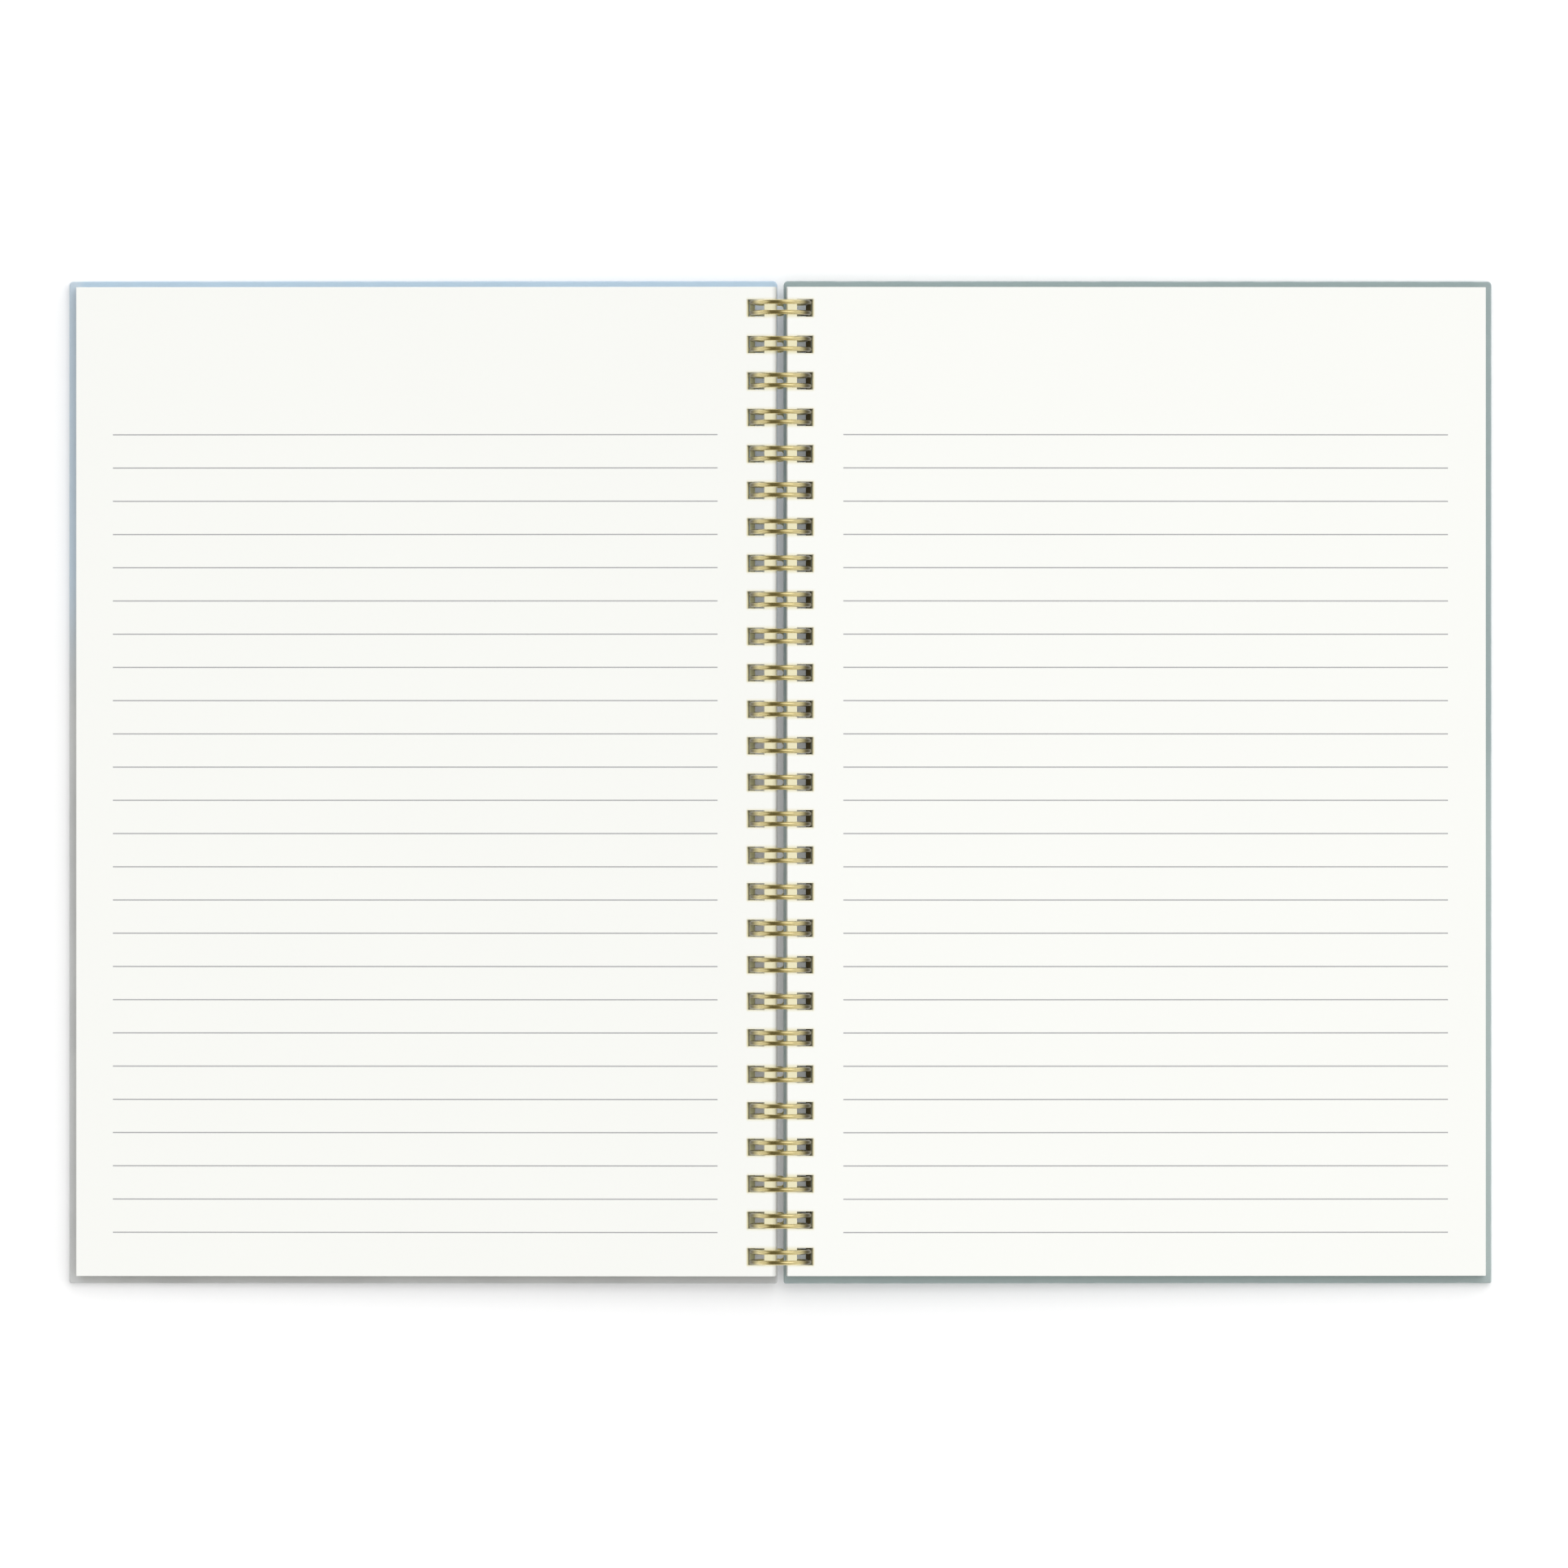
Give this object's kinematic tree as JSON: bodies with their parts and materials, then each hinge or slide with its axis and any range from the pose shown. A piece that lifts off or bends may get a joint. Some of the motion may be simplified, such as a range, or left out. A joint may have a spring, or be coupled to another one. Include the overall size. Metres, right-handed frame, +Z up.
{
  "type": "planner",
  "caption": "Hardcover planner with a twin-loop wire binding, lying open flat, with ruled leaves punched along the spine edge and two boards that turn on the rings.",
  "frame": {"origin": "centre of the bounding box's bottom, on the table under the ring axis", "axes": "+X across the open planner to the right-hand leaves, +Y towards the head of the page, +Z up from the table"},
  "size_m": [0.3304, 0.2328, 0.0145],
  "materials": {
    "front_board": "satin",
    "back_board": "satin",
    "paper": "matte",
    "gold_wire": "polished"
  },
  "bodies": {
    "binding": {"twin_loop_wire": "gold_wire"},
    "front_half": {"front_cover": "front_board", "left_pages": "paper"},
    "back_half": {"back_cover": "back_board", "right_pages": "paper"}
  },
  "joints": [
    {"name": "front_cover_hinge", "type": "hinge", "parent": "binding", "child": "front_half", "pos_m": [0, 0, 0.00725], "axis": [0, 1, 0], "range_deg": [0, 181.73]},
    {"name": "back_cover_hinge", "type": "hinge", "parent": "binding", "child": "back_half", "pos_m": [0, 0, 0.00725], "axis": [0, 1, 0], "range_deg": [-181.73, 0]}
  ]
}
